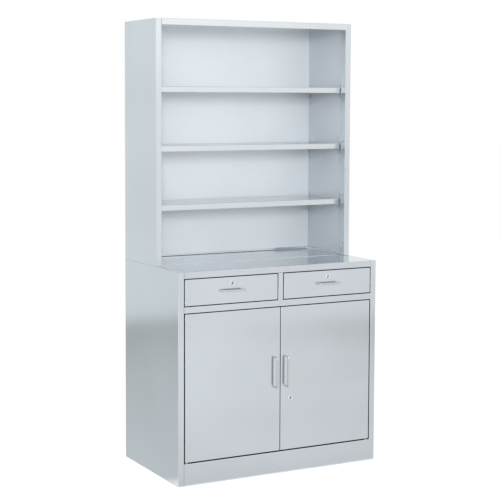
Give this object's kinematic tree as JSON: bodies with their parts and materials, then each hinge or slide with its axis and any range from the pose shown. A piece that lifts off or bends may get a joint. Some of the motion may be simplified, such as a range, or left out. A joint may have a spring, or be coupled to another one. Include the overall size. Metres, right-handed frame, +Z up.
{
  "type": "operating room cabinet",
  "caption": "Stainless steel operating room cabinet: closed base with drawers over hinged doors, worktop, and a shallower open unit with shelves above.",
  "frame": {"origin": "on the floor, at the middle of the outline seen from above, handles included", "axes": "+Z up, -Y towards the front with the drawers and doors, +X to the right seen from the front"},
  "size_m": [0.9, 0.524, 1.8],
  "materials": {
    "carcass_steel": "satin",
    "front_steel": "satin",
    "tray_steel": "satin",
    "slide_steel": "zinc plated",
    "fastener_steel": "plain",
    "handle_steel": "polished",
    "lock_chrome": "polished",
    "catch_plastic": "matt",
    "bush_plastic": "matt"
  },
  "bodies": {
    "cabinet": {"lower_left_side": "carcass_steel", "lower_right_side": "carcass_steel", "lower_back": "carcass_steel", "worktop": "carcass_steel", "drawer_deck": "carcass_steel", "centre_partition": "carcass_steel", "floor_panel": "carcass_steel", "plinth": "carcass_steel", "lower_shelf": "carcass_steel", "upper_left_side": "carcass_steel", "upper_right_side": "carcass_steel", "upper_back": "carcass_steel", "upper_top": "carcass_steel", "upper_shelves": "carcass_steel", "upper_floor": "carcass_steel", "runner_brackets": "carcass_steel", "lower_uprights": "carcass_steel", "upper_uprights": "carcass_steel", "shelf_clips": "carcass_steel", "hinge_pins": "fastener_steel", "joining_screws": "fastener_steel", "door_catches": "catch_plastic", "drawer_left_slide_outers": "slide_steel", "drawer_right_slide_outers": "slide_steel"},
    "drawer_left": {"drawer_left_front": "front_steel", "drawer_left_tray": "tray_steel", "drawer_left_handle": "handle_steel", "drawer_left_handle_screws": "fastener_steel", "drawer_left_lock_body": "lock_chrome", "drawer_left_slide_inners": "slide_steel"},
    "drawer_left_slides": {"drawer_left_slide_middles": "slide_steel"},
    "drawer_left_lock": {"drawer_left_lock_plug": "lock_chrome", "drawer_left_lock_cam": "fastener_steel"},
    "drawer_right": {"drawer_right_front": "front_steel", "drawer_right_tray": "tray_steel", "drawer_right_handle": "handle_steel", "drawer_right_handle_screws": "fastener_steel", "drawer_right_lock_body": "lock_chrome", "drawer_right_slide_inners": "slide_steel"},
    "drawer_right_slides": {"drawer_right_slide_middles": "slide_steel"},
    "drawer_right_lock": {"drawer_right_lock_plug": "lock_chrome", "drawer_right_lock_cam": "fastener_steel"},
    "door_left": {"door_left_skin": "front_steel", "door_left_liner": "tray_steel", "door_left_handle": "handle_steel", "door_left_handle_screws": "fastener_steel", "door_left_bushes": "bush_plastic", "door_left_strike": "fastener_steel", "door_bolt_case": "fastener_steel"},
    "door_right": {"door_right_skin": "front_steel", "door_right_liner": "tray_steel", "door_right_handle": "handle_steel", "door_right_handle_screws": "fastener_steel", "door_right_bushes": "bush_plastic", "door_right_strike": "fastener_steel", "door_lock_body": "lock_chrome"},
    "door_lock": {"door_lock_plug": "lock_chrome", "door_lock_cam": "fastener_steel"},
    "door_bolt": {"door_bolt": "fastener_steel"}
  },
  "joints": [
    {"name": "drawer_left_pull", "type": "slide", "parent": "cabinet", "child": "drawer_left", "axis": [0, -1, 0], "range_m": [0, 0.38]},
    {"name": "drawer_left_slides_follow", "type": "slide", "parent": "cabinet", "child": "drawer_left_slides", "axis": [0, -1, 0], "range_m": [0, 0.19]},
    {"name": "drawer_left_lock_turn", "type": "hinge", "parent": "drawer_left", "child": "drawer_left_lock", "pos_m": [-0.218, -0.238, 0.777], "axis": [0, 1, 0], "range_deg": [0, 90]},
    {"name": "drawer_right_pull", "type": "slide", "parent": "cabinet", "child": "drawer_right", "axis": [0, -1, 0], "range_m": [0, 0.38]},
    {"name": "drawer_right_slides_follow", "type": "slide", "parent": "cabinet", "child": "drawer_right_slides", "axis": [0, -1, 0], "range_m": [0, 0.19]},
    {"name": "drawer_right_lock_turn", "type": "hinge", "parent": "drawer_right", "child": "drawer_right_lock", "pos_m": [0.218, -0.238, 0.777], "axis": [0, 1, 0], "range_deg": [0, 90]},
    {"name": "door_left_swing", "type": "hinge", "parent": "cabinet", "child": "door_left", "pos_m": [-0.412, -0.231, 0.3795], "axis": [0, 0, -1], "range_deg": [0, 110]},
    {"name": "door_right_swing", "type": "hinge", "parent": "cabinet", "child": "door_right", "pos_m": [0.412, -0.231, 0.3795], "axis": [0, 0, 1], "range_deg": [0, 110]},
    {"name": "door_lock_turn", "type": "hinge", "parent": "door_right", "child": "door_lock", "pos_m": [0.04625, -0.238, 0.301], "axis": [0, 1, 0], "range_deg": [0, 90]},
    {"name": "door_bolt_slide", "type": "slide", "parent": "door_left", "child": "door_bolt", "axis": [0, 0, 1], "range_m": [0, 0.012]}
  ],
  "couplings": [
    {"joint": "drawer_left_slides_follow", "follows": "drawer_left_pull", "ratio": 0.5},
    {"joint": "drawer_right_slides_follow", "follows": "drawer_right_pull", "ratio": 0.5}
  ]
}
